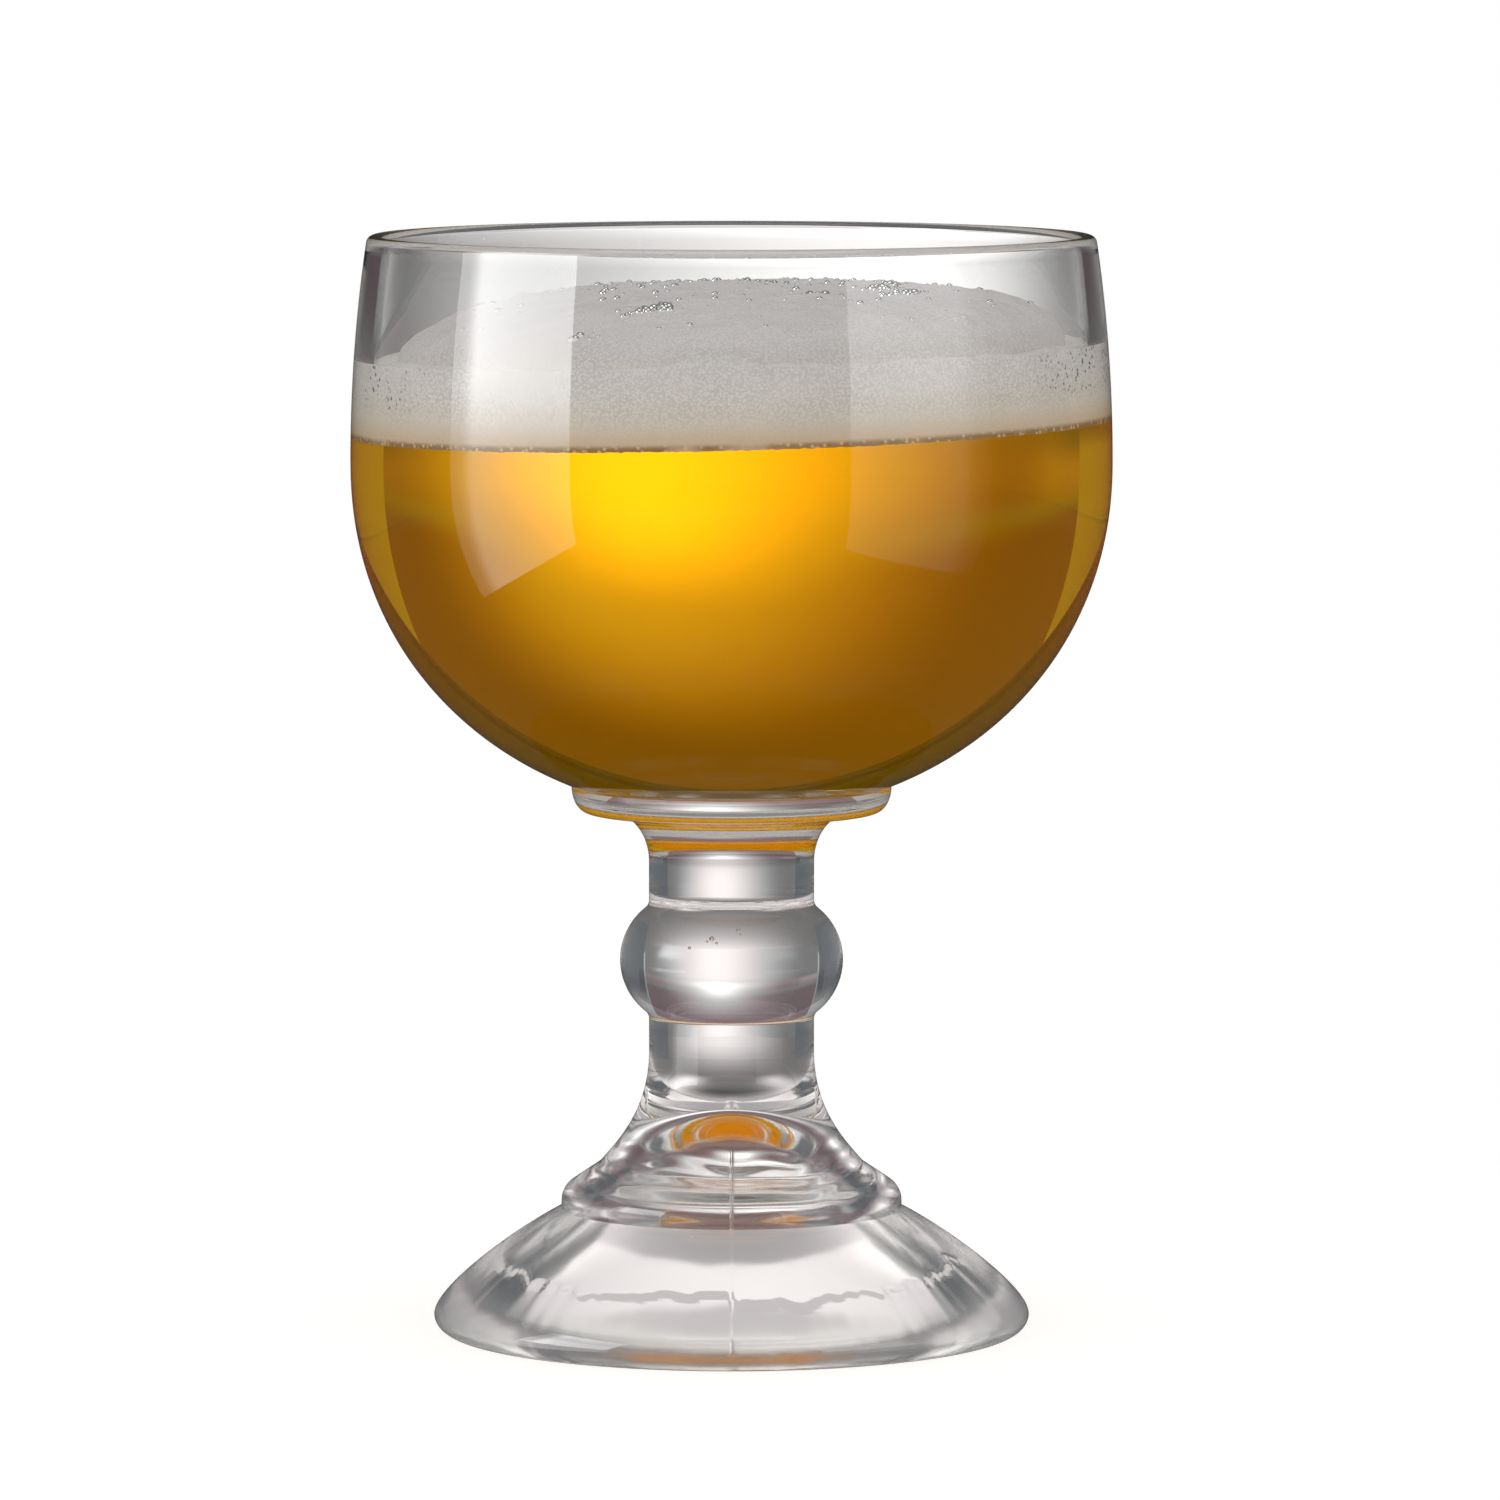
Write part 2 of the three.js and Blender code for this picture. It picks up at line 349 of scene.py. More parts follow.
pressed_waves = {"wave_size": 9, "wave_depth": 0.05, "smear": 0.05}
pressed_glass = clear_glass("pressed_glass", GLASS_INDEX, **pressed_waves)
hollow_glass = clear_glass("pressed_hollow", GLASS_INDEX, haze=HOLLOW_HAZE, **pressed_waves)
joint = fused_joint("fused_joint")
foot = turned(
    "pressed_foot",
    [
        (bell, 2, chilled_hollow),
        (edge, 0, None),
        (skirt + ring + flare, 0, mould_seam),
        ([(0, FOOT_HEIGHT)], 1, None),
    ],
    (pressed_glass, joint, hollow_glass),
    turn_angles(320, (FRONT, BACK)),
)
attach(foot, "root")
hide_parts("foot")

# Stem. A solid column of the same pressed glass with one ball knop, fire-polished until no seam shows. It
# spreads in a cove under the collar, and is fused at both ends.
STEM_BASE = FOOT_HEIGHT
STEM_HEIGHT = 36
KNOP_HEIGHT = 13.7
KNOP_SWELL = 4.35
KNOP_ROUND = 9.8
KNOP_FILLET = 1.7
COVE_HEIGHT = 7.5
STEM_TOP_RADIUS = 18.4

knop_centre = (NECK_RADIUS + KNOP_SWELL - KNOP_ROUND, STEM_BASE + KNOP_HEIGHT)
fillet_radius = NECK_RADIUS + KNOP_FILLET
run = fillet_radius - knop_centre[0]
rise = math.sqrt((KNOP_ROUND + KNOP_FILLET) ** 2 - run ** 2)
bend = math.degrees(math.atan2(rise, run))
stem_top = STEM_BASE + STEM_HEIGHT
column = [(NECK_RADIUS, STEM_BASE)]
low_fillet, high_fillet = [(fillet_radius, knop_centre[1] + side * rise) for side in (-1, 1)]
column += arc(low_fillet, KNOP_FILLET, KNOP_FILLET, 180, 180 - bend, steps=12)
column += arc(knop_centre, KNOP_ROUND, KNOP_ROUND, -bend, bend, steps=48)
column += arc(high_fillet, KNOP_FILLET, KNOP_FILLET, 180 + bend, 180, steps=12)
cove_centre = (STEM_TOP_RADIUS, stem_top - COVE_HEIGHT)
column += arc(cove_centre, STEM_TOP_RADIUS - NECK_RADIUS, COVE_HEIGHT, 180, 90, steps=24)
stem = turned(
    "pressed_stem",
    [
        ([(0, STEM_BASE), (NECK_RADIUS, STEM_BASE)], 1, None),
        (column, 0, None),
        ([(0, stem_top)], 1, None),
    ],
    (pressed_glass, joint),
    turn_angles(168),
)
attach(stem, "root")
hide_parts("stem")

# Seeds. Specks of air that the gather took in with the glass. They lie just under the front of the knop, and
# show dark because their skins mirror the light away. Each has a place across, a height and a size.
SEEDS = (
    (-2.9, 60.8, 0.4),
    (-2.2, 60.2, 0.22),
    (-3.6, 60.4, 0.2),
    (1.0, 62.0, 0.3),
    (1.3, 61.4, 0.18),
    (-6.2, 59.4, 0.25),
)
SEED_DEPTH = 0.6

seed_skin = clear_glass("seed_skin", 1 / GLASS_INDEX, wave_size=2, wave_depth=0.02, smear=0.3)
balls = bmesh.new()
for x, height, size in SEEDS:
    front = knop_centre[0] + math.sqrt(KNOP_ROUND ** 2 - (height - knop_centre[1]) ** 2) - SEED_DEPTH
    place = Vector((x, -math.sqrt(front ** 2 - x ** 2), height)) * MM
    ball = bmesh.ops.create_icosphere(balls, subdivisions=2, radius=size * MM)
    bmesh.ops.translate(balls, verts=ball["verts"], vec=place)
for face in balls.faces:
    face.smooth = True
seed_mesh = bpy.data.meshes.new("knop_seeds")
balls.to_mesh(seed_mesh)
balls.free()
seed_mesh.materials.append(seed_skin)
seeds = bpy.data.objects.new("knop_seeds", seed_mesh)
bpy.context.scene.collection.objects.link(seeds)
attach(seeds, "root")

# Collar. The thick disc of glass on which the bowl is set. Its lower edge is rounded, and it is fused to
# the stem below and to the bowl above, which leaves only its rim and a narrow step to be seen.
COLLAR_HEIGHT = 3.75
COLLAR_RADIUS = 24
COLLAR_ROUND = 2.5
BOWL_BASE_RADIUS = 23.3

collar_top = stem_top + COLLAR_HEIGHT
round_centre = (COLLAR_RADIUS - COLLAR_ROUND, collar_top)
collar_edge = arc(round_centre, COLLAR_ROUND, COLLAR_HEIGHT, -90, 0, steps=24)
collar = turned(
    "fused_collar",
    [
        ([(0, stem_top), (STEM_TOP_RADIUS, stem_top)], 1, None),
        (collar_edge, 0, None),
        ([(COLLAR_RADIUS, collar_top), (BOWL_BASE_RADIUS, collar_top)], 0, None),
        ([(0, collar_top)], 1, None),
    ],
    (pressed_glass, joint),
    turn_angles(168),
)
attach(collar, "root")
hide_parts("collar")

# Bowl. A deep round cup of clear glass, blown in a turned mould so that it has no seam, with a fire-polished
# lip. Its thick base is fused to the collar. Beer and foam wet the inside up to the edge of the foam.
BOWL_BASE = collar_top
BOWL_HEIGHT = 82.75
BOWL_FULLNESS = 2.1
BELLY_HEIGHT = 48.7
BELLY_RADIUS = 57
BELLY_WALL = 2.8
RIM_RADIUS = 54.6
RIM_WALL = 2.5
FLOOR_THICKNESS = 5.5
BEER_INDEX = 1.34
BEER_DEPTH = 48
FOAM_EDGE_DEPTH = 12
LEVEL_LEAN = 1.5
LEAN_FADES = (20, 8)

BEER_LEVEL = BOWL_BASE + FLOOR_THICKNESS + BEER_DEPTH
FOAM_EDGE = BEER_LEVEL + FOAM_EDGE_DEPTH
LEVEL_CLIMB = math.tan(math.radians(LEVEL_LEAN))
belly = BOWL_BASE + BELLY_HEIGHT
rim_height = BOWL_BASE + BOWL_HEIGHT - RIM_WALL / 2
inner_floor = BOWL_BASE + FLOOR_THICKNESS
outer_depth = BELLY_HEIGHT / (1 - (BOWL_BASE_RADIUS / BELLY_RADIUS) ** BOWL_FULLNESS) ** (1 / BOWL_FULLNESS)
inner_depth = BELLY_HEIGHT - FLOOR_THICKNESS


def wall_radius(belly_radius, rim_radius, depth, height):
    """Radius of the bowl at a height: a full curve below the belly, drawn in to the rim above it."""
    if height > belly:
        share = (height - belly) / (rim_height - belly)
        return belly_radius - (belly_radius - rim_radius) * share ** 2
    share = min((belly - height) / depth, 1)
    return belly_radius * (1 - share ** BOWL_FULLNESS) ** (1 / BOWL_FULLNESS)


def outer_radius(height):
    return wall_radius(BELLY_RADIUS, RIM_RADIUS, outer_depth, height)


def inner_radius(height):
    return wall_radius(BELLY_RADIUS - BELLY_WALL, RIM_RADIUS - RIM_WALL, inner_depth, height)


def eased(low, high, steps):
    """Heights that crowd together at the low end, where the bowl turns fastest."""
    return [low + (high - low) * (1 - math.cos(math.pi / 2 * i / steps)) for i in range(steps + 1)]


def even(low, high, steps):
    return [low + (high - low) * i / steps for i in range(steps + 1)]


def level_lean(radius, height, angle):
    """The inside's rings lean with the level of the beer near the foam, and lie flat at floor and rim."""
    fade = min((height - inner_floor) / LEAN_FADES[0], (rim_height - height) / LEAN_FADES[1], 1)
    leaned = height + LEVEL_CLIMB * radius * math.cos(angle) * max(fade, 0)
    return inner_radius(leaned), leaned


outside = [(outer_radius(h), h) for h in eased(BOWL_BASE, belly, 56)]
outside += [(outer_radius(h), h) for h in even(belly, rim_height, 20)]
lip = arc((RIM_RADIUS - RIM_WALL / 2, rim_height), RIM_WALL / 2, RIM_WALL / 2, 0, 180, steps=20)
dry = [(inner_radius(h), h) for h in even(rim_height, FOAM_EDGE, 10)]
wet = [(inner_radius(h), h) for h in even(FOAM_EDGE, belly, 14)]
wet += [(inner_radius(h), h) for h in reversed(eased(inner_floor, belly, 60))]

blown_waves = {"wave_size": 22, "wave_depth": 0.03}
bowl_glass = clear_glass("bowl_glass", GLASS_INDEX, smear=0.03, **blown_waves)
wet_glass = clear_glass("wet_bowl_glass", GLASS_INDEX / BEER_INDEX, smear=0.0, **blown_waves)
bowl = turned(
    "blown_bowl",
    [
        ([(0, BOWL_BASE), (BOWL_BASE_RADIUS, BOWL_BASE)], 2, None),
        (outside + lip, 0, None),
        (dry, 0, level_lean),
        (wet, 1, level_lean),
    ],
    (bowl_glass, wet_glass, joint),
    turn_angles(224),
)
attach(bowl, "root")
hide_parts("bowl")

# Beer. Clear amber lager that fills the bowl to just above its widest part. The glass was set down a moment
# before, so the level still leans a little and climbs to the right.
CLEARANCE = 0.3
BEER_COLOUR = (0.992, 0.858, 0.0, 1)
BEER_DENSITY = 60.0
BEER_EDGE = 4


def beer_top(radius, height, angle):
    return radius, height + LEVEL_CLIMB * radius * math.cos(angle)


amber_beer, start = finish_tree("amber_beer")
depth_colour = start.node("ShaderNodeVolumeAbsorption", None, {"Color": BEER_COLOUR, "Density": BEER_DENSITY})
start.node("ShaderNodeOutputMaterial", None, {"Volume": depth_colour})

beer_side = [
    (max(inner_radius(h - CLEARANCE) - CLEARANCE, 0), h)
    for h in eased(inner_floor + CLEARANCE, BEER_LEVEL - BEER_EDGE, 60)
]
beer = turned(
    "beer_fill",
    [
        (beer_side, 0, None),
        ([(inner_radius(BEER_LEVEL) - CLEARANCE, BEER_LEVEL)], 0, beer_top),
        ([(0, BEER_LEVEL)], 0, beer_top),
    ],
    (amber_beer,),
    turn_angles(160),
)
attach(beer, "root")
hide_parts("beer")

# Foam head. A cap of fine white bubbles on the beer. It clings to the wall at its edge, and in the middle
# it stands up in a soft mound that is steeper on its right, with a few large bubbles on top.
MOUND_RADIUS = 49.8
MOUND_HEIGHT = 8.5
MOUND_STEEPNESS = 4.3
MOUND_BIAS = 1.87
BACK_STEEPNESS = 3
LUMPS = ((0.5, 0.09), (0.35, 0.31), (0.13, 0.9))
LEDGE_WIDTH = 3
WALL_RIPPLE = (0.28, 9)
SCALLOPS = ((0.16, 60), (0.1, 170))
TONGUE_HEIGHT = 2.8
TONGUE_ANGLE = FRONT - 0.05
TONGUE_SPAN = 0.1
FOAM_BASE = BEER_LEVEL + CLEARANCE
# The foam's colour runs up from the beer: cream low down, where beer drains through it, and darker over the
# mound's top, where the darker colour is painted shade.
CREAM_AND_SHADE_DEPTH = 20
CREAM_AND_SHADE_STOPS = (
    (0.0, (0.74, 0.51, 0.29, 1)),
    (0.09, (0.78, 0.59, 0.41, 1)),
    (0.21, (0.85, 0.74, 0.62, 1)),
    (0.39, (0.89, 0.82, 0.76, 1)),
    (0.60, (0.88, 0.82, 0.78, 1)),
    (0.72, (0.80, 0.745, 0.73, 1)),
    (1.0, (0.80, 0.76, 0.75, 1)),
)
# Painted shade: darker rims on the fine cells, dark open bubbles at the sides, and a dotted dark line along
# the beer. The clouds are tone that differs at random.
CELL_PAINTED_SHADE = (0.30, 0.28, 0.27, 1)
CLOUD_SHADE = (0.42, 0.38, 0.37, 1)
HOLE_PAINTED_SHADE = (0.08, 0.07, 0.065, 1)
EDGE_PAINTED_SHADE = (0.30, 0.15, 0.03, 1)
CELL_SCALE = 2600.0
FROTH_SCALE = 1100.0
MOTTLE_SCALE = 120.0
CLOUD_SCALE = 45.0
BASE_INSET = 2
TOP_RINGS = 90
TOP_CROWDING = 1.25


def mound_rise(x, y):
    """Height of the mound above the foam's edge: a rounded step, steep to the right, gentle to the left."""
    spread = math.hypot(x, y) / MOUND_RADIUS
    if spread >= 1:
        return 0
    rightward = x / max(math.hypot(x, y), 0.1)
    steepness = MOUND_STEEPNESS * MOUND_BIAS ** rightward + BACK_STEEPNESS * max(y, 0) / MOUND_RADIUS
    return MOUND_HEIGHT * math.sqrt(1 - spread ** steepness)


def wall_line(angle):
    """How far the foam's edge wanders up or down the wall, with one tongue of foam left up the front."""
    depth, pace = WALL_RIPPLE
    ripple = depth * noise.noise(Vector((math.cos(angle), math.sin(angle), 3)) * pace)
    return ripple + TONGUE_HEIGHT * math.exp(-(((angle - TONGUE_ANGLE) / TONGUE_SPAN) ** 2))


def foam_top(radius, height, angle):
    x, y = radius * math.cos(angle), radius * math.sin(angle)
    place = Vector((x, y, 0))
    lumps = sum(size * noise.noise(place * pace) for size, pace in LUMPS)
    wall_fade = min((inner_radius(FOAM_EDGE) - CLEARANCE - radius) / LEDGE_WIDTH, 1)
    mound = mound_rise(x, y)
    rise = mound + lumps * wall_fade + wall_line(angle) * (1 - wall_fade)
    return radius, height + rise + LEVEL_CLIMB * x * (1 - mound / MOUND_HEIGHT)


def foam_side(radius, height, angle):
    around = Vector((math.cos(angle), math.sin(angle), 0))
    share = (height - FOAM_BASE) / (FOAM_EDGE - FOAM_BASE)
    scallop = sum(size * noise.noise(around * pace) for size, pace in SCALLOPS)
    lean = LEVEL_CLIMB * radius * math.cos(angle)
    moved = height + scallop * (1 - share) + wall_line(angle) * share + lean
    return inner_radius(moved) - CLEARANCE, moved


def foam_finish():
    """White foam, creamy where beer drains through it and darker over the mound's top as painted shade, with
    fine cells that carry painted shade at their rims, painted shade in open bubbles where it clings to the
    sides, and a dotted line of painted shade along the beer."""
    material, start = finish_tree("beer_foam")
    place = start.node("ShaderNodeTexCoord", output="Object")
    x, y, z = place.axes()
    radius = start.math("SQRT", x * x + y * y)
    above = z - FOAM_BASE * MM - x * LEVEL_CLIMB
    # Cream low down where beer drains through the foam, and painted shade that darkens the mound's top.
    cream_and_shade = start.node(
        "ShaderNodeValToRGB", {"stops": CREAM_AND_SHADE_STOPS}, {0: above * (1 / (CREAM_AND_SHADE_DEPTH * MM))}, 0,
    )
    cells = start.node("ShaderNodeTexVoronoi", None, {"Vector": place, "Scale": CELL_SCALE}, "Distance")
    froth = start.node("ShaderNodeTexVoronoi", None, {"Vector": place, "Scale": FROTH_SCALE}, "Distance")
    patches, clouds = [
        start.node("ShaderNodeTexNoise", None, {"Vector": place, "Scale": scale, "Detail": 2.0}, 0)
        for scale in (MOTTLE_SCALE, CLOUD_SCALE)
    ]
    # Painted shade: each fine cell darkens towards its rim, more so above the foam's lowest few millimetres.
    painted_cell_shade = cells.step(0.25, 0.65) * (0.08 + 0.2 * above.step(2 * MM, 6 * MM)) * (0.45 + patches)
    colour = painted_cell_shade.tint(cream_and_shade, CELL_PAINTED_SHADE)
    colour = (0.12 * clouds.step(0.45, 0.7)).tint(colour, CLOUD_SHADE)
    # Painted shade: dark open bubbles high on the foam's wall, near its left and right sides.
    sides = start.math("ABSOLUTE", x).step(40 * MM, 50 * MM)
    upper = above.step(4 * MM, 7 * MM) * (1 - above.step(11.5 * MM, 13 * MM))
    painted_holes = (1 - froth.step(0.2, 0.34)) * patches.step(0.36, 0.52) * (sides * upper)
    colour = (painted_holes * 0.9).tint(colour, HOLE_PAINTED_SHADE)
    # Painted shade: a dotted dark brown line along the foam's lower edge at the wall.
    low_edge = (1 - above.step(0.35 * MM, 1.2 * MM)) * radius.step(51 * MM, 53 * MM)
    painted_edge_shade = low_edge * froth.step(0.1, 0.45) * patches.step(0.25, 0.45)
    colour = (painted_edge_shade * 0.9).tint(colour, EDGE_PAINTED_SHADE)
    relief = start.node(
        "ShaderNodeBump",
        None,
        {"Strength": 0.6, "Distance": 0.1 * MM, "Height": cells * -1 - 0.6 * froth},
        "Normal",
    )
    body = start.node(
        "ShaderNodeBsdfPrincipled",
        None,
        {
            "Base Color": colour,
            "Roughness": 0.35 + 0.3 * cells,
            "IOR": 1.33,
            "Normal": relief,
        },
    )
    start.node("ShaderNodeOutputMaterial", None, {"Surface": body})
    return material


foam_edge_radius = inner_radius(FOAM_EDGE) - CLEARANCE
top_radii = [foam_edge_radius * (1 - (i / TOP_RINGS) ** TOP_CROWDING) for i in range(TOP_RINGS + 1)]
beer_foam = foam_finish()
foam = turned(
    "foam_cap",
    [
        ([(0, FOAM_BASE), (foam_edge_radius - BASE_INSET, FOAM_BASE)], 0, beer_top),
        ([(foam_edge_radius, h) for h in even(FOAM_BASE, FOAM_EDGE, 14)], 0, foam_side),
        ([(radius, FOAM_EDGE) for radius in top_radii], 0, foam_top),
    ],
    (beer_foam,),
    turn_angles(640),
)
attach(foam, "root")
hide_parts("foam_head")

# Large bubbles. Single films of beer that have risen to the top of the mound, where they sit in a few close
# clusters and as a loose lace along its far edge. They are half sunk in the foam and mirror the lamp above.
BUBBLE_SIZES = (0.25, 0.95)
BUBBLES_PER_AREA = 1.1e6
BUBBLE_SEED = 7
BUBBLE_SINK = 0.1
CLUSTERS = ((-13, -31.5), (-10.3, -30), (12.4, -10.6), (24.3, 12), (22.5, 2), (25.8, -10), (-21.3, -40))
CLUSTER_SPREAD = 2.0
LOOSE_SHARE = 0.02
FAR_SHARE = 0.07
FAR_EDGE = (5, 35)
PATCH_RADIUS = 46
PATCH_ROWS = 40
PATCH_TURNS = 120


def lace(x, y):
    """How thickly large bubbles lie at a place on the mound, from 0 to 1."""
    close = sum(math.exp(-(math.dist((x, y), centre) / CLUSTER_SPREAD) ** 2) for centre in CLUSTERS)
    return min(close + LOOSE_SHARE + FAR_SHARE * smooth(y, *FAR_EDGE), 1)


def bubble_tree():
    """Nodes that scatter small spheres over a mesh, as thickly as its attribute says."""
    tree = bpy.data.node_groups.new("scattered_bubbles", "GeometryNodeTree")
    sockets = {}
    for name, kind in (
        ("Geometry", "NodeSocketGeometry"),
        ("Per Area", "NodeSocketFloat"),
        ("Smallest", "NodeSocketFloat"),
        ("Largest", "NodeSocketFloat"),
        ("Seed", "NodeSocketInt"),
        ("Film", "NodeSocketMaterial"),
    ):
        sockets[name] = tree.interface.new_socket(name, in_out="INPUT", socket_type=kind).identifier
    tree.interface.new_socket("Geometry", in_out="OUTPUT", socket_type="NodeSocketGeometry")
    start = Wire(tree)
    given = start.node("NodeGroupInput").socket.node.outputs
    base, per_area, smallest, largest, seed, film = [Wire(tree, given[name]) for name in sockets]
    thickness = start.node("GeometryNodeInputNamedAttribute", {"data_type": "FLOAT"}, {"Name": "lace"}, 0)
    points = start.node(
        "GeometryNodeDistributePointsOnFaces",
        None,
        {"Mesh": base, "Density": per_area * thickness, "Seed": seed},
        "Points",
    )
    sphere = start.node("GeometryNodeMeshUVSphere", None, {"Segments": 8, "Rings": 6, "Radius": 1.0}, "Mesh")
    rounded = start.node("GeometryNodeSetShadeSmooth", None, {"Geometry": sphere})
    size = start.node("FunctionNodeRandomValue", None, {2: smallest, 3: largest, "Seed": seed}, 1)
    spheres = start.node(
        "GeometryNodeInstanceOnPoints",
        None,
        {"Points": points, "Instance": rounded, "Scale": size * (0.6 + 0.4 * thickness)},
    )
    solid = start.node("GeometryNodeRealizeInstances", None, {"Geometry": spheres})
    covered = start.node("GeometryNodeSetMaterial", None, {"Geometry": solid, "Material": film})
    start.node("NodeGroupOutput", None, {"Geometry": covered})
    return tree, sockets


def bubble_film():
    """A wet film that mirrors what is above it, a little uneven."""
    material, start = finish_tree("bubble_film")
    place = start.node("ShaderNodeTexCoord", output="Object")
    uneven = start.node("ShaderNodeTexNoise", None, {"Vector": place, "Scale": 2400.0, "Detail": 1.0}, 0)
    body = start.node(
        "ShaderNodeBsdfPrincipled",
        None,
        {
            "Base Color": uneven.tint((0.97, 0.96, 0.95, 1), (0.9, 0.88, 0.86, 1)),
            "Metallic": 0.7 + 0.2 * uneven,
            "Roughness": 0.1 + 0.15 * uneven,
            "IOR": BEER_INDEX,
        },
    )
    start.node("ShaderNodeOutputMaterial", None, {"Surface": body})
    return material


patch_rows = [PATCH_RADIUS * MM * i / PATCH_ROWS for i in range(PATCH_ROWS + 1)]
patch_turns = turn_angles(PATCH_TURNS)
places, thickness = [], []
for radius in patch_rows:
    for angle in patch_turns:
        _, height = foam_top(radius / MM, FOAM_EDGE, angle)
        x, y = radius * math.cos(angle), radius * math.sin(angle)
        places.append((x, y, (height - BUBBLE_SINK) * MM))
        thickness.append(lace(x / MM, y / MM))
faces = []
for i in range(PATCH_ROWS):
    low, high = i * PATCH_TURNS, (i + 1) * PATCH_TURNS
    for j in range(PATCH_TURNS):
        k = (j + 1) % PATCH_TURNS
        faces.append((low + j, high + j, high + k, low + k))
patch = bpy.data.meshes.new("mound_bubbles")
patch.from_pydata(places, [], faces)
patch.attributes.new("lace", "FLOAT", "POINT").data.foreach_set("value", thickness)
bubbles = bpy.data.objects.new("mound_bubbles", patch)
bpy.context.scene.collection.objects.link(bubbles)
tree, sockets = bubble_tree()
scatter = bubbles.modifiers.new("scatter", "NODES")
scatter.node_group = tree
scatter[sockets["Per Area"]] = BUBBLES_PER_AREA
scatter[sockets["Smallest"]] = BUBBLE_SIZES[0] * MM
scatter[sockets["Largest"]] = BUBBLE_SIZES[1] * MM
scatter[sockets["Seed"]] = BUBBLE_SEED
scatter[sockets["Film"]] = bubble_film()
evaluated = bubbles.evaluated_get(bpy.context.evaluated_depsgraph_get())
plain = bpy.data.meshes.new_from_object(evaluated)
bubbles.modifiers.clear()
bubbles.data = plain
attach(bubbles, "root")

# Camera. It stands where the photographer's did, a little above the rim, with a long lens. The clear glass
# needs many bounces, and casts a soft shadow without caustics.
CAMERA_PLACE = (0, -1.540, 0.2279)
CAMERA_PITCH = 5.2
CAMERA_LENS = 247.4
CAMERA_SHIFT = 0.0123

scene = bpy.context.scene
scene.view_settings.view_transform = "Standard"
scene.cycles.max_bounces = 32
scene.cycles.transmission_bounces = 28
scene.cycles.glossy_bounces = 20
scene.cycles.transparent_max_bounces = 40
scene.cycles.caustics_refractive = False
scene.cycles.caustics_reflective = False

lens = bpy.data.cameras.new("camera")
lens.lens = CAMERA_LENS
lens.sensor_width = 36
lens.shift_x = CAMERA_SHIFT
lens.clip_start = 0.01
camera = bpy.data.objects.new("camera", lens)
camera.location = CAMERA_PLACE
camera.rotation_euler = (math.radians(90 - CAMERA_PITCH), 0, 0)
scene.collection.objects.link(camera)
scene.camera = camera

# Softboxes. A large sheet of light on the left and a weaker one on the right, which only show as reflections,
# and a soft lamp overhead. Their corners are angles round from the camera and up from the bowl's middle.
WHITE = (1, 1, 1, 1)
BOWL_MIDDLE = (0, 0, 0.12)
SOFTBOX_DISTANCE = 0.8
LEFT_CORNERS = ((-47.5, -18), (-90, -29), (-90, 36), (-47.5, 36))
LEFT_LIGHT = (2.0, 3.6)
RIGHT_CORNERS = ((34.5, -20), (81, -24), (81, 36), (34.5, 36))
RIGHT_LIGHT = (0.75, 0.6)
LAMP_SIZE = 0.7
LAMP_LIGHT = 1.2
LAMP_PLACE = (0, -0.15, 1.0)


def flat_stage(name, corners, finish, rays=None):
    """A flat sheet of the studio. Where rays are named, only reflections or only the view through glass
    meets it."""
    sheet = bpy.data.meshes.new(name)
    sheet.from_pydata(corners, [], [list(range(len(corners)))])
    sheet.materials.append(finish)
    holder = bpy.data.objects.new(name, sheet)
    scene.collection.objects.link(holder)
    if rays:
        holder.visible_camera = False
        holder.visible_diffuse = False
        holder.visible_shadow = False
        holder.visible_glossy = rays == "glossy"
        holder.visible_transmission = rays == "transmission"
    return holder


def softbox(name, corners, inner, outer):
    """A sheet of light that goes from one radiance at its first angle to another at its last, and is
    brightest a little above the bowl."""
    finish, start = finish_tree(name)
    x, y, z = start.node("ShaderNodeTexCoord", output="Object").axes()
    turn = start.math("ARCTAN2", x, y * -1) * (180 / math.pi)
    share = turn.step(corners[0][0], corners[1][0])
    fade = 1 - 0.75 * share.step(0.86, 1.0)
    by_height = 0.85 + 2.4 * z.step(0.10, 0.20) - 1.1 * z.step(0.34, 0.48)
    light = (inner + share * (outer - inner)) * fade * by_height
    face = start.node("ShaderNodeEmission", None, {"Color": WHITE, "Strength": light})
    start.node("ShaderNodeOutputMaterial", None, {"Surface": face})
    places = []
    for around, up in corners:
        around, up = math.radians(around), math.radians(up)
        away = Vector((math.sin(around) * math.cos(up), -math.cos(around) * math.cos(up), math.sin(up)))
        places.append(Vector(BOWL_MIDDLE) + away * SOFTBOX_DISTANCE)
    flat_stage(name, places, finish, "glossy")


softbox("left_softbox", LEFT_CORNERS, *LEFT_LIGHT)
softbox("right_softbox", RIGHT_CORNERS, *RIGHT_LIGHT)
lamp = bpy.data.lights.new("top_softbox", "AREA")
lamp.size = LAMP_SIZE
lamp.energy = LAMP_LIGHT * math.pi * LAMP_SIZE ** 2
top_softbox = bpy.data.objects.new("top_softbox", lamp)
top_softbox.location = LAMP_PLACE
top_softbox.visible_camera = False
top_softbox.visible_transmission = False
scene.collection.objects.link(top_softbox)

# Room. White to the camera, even to matt surfaces and nearly black to reflections. Through the glass it is
# dim, lighter above the horizon and towards the camera's side, and pale below, past the edge of the table.
ROOM_LIGHT = 0.59
ROOM_MIRRORED = 0.03
ROOM_BELOW = 0.95

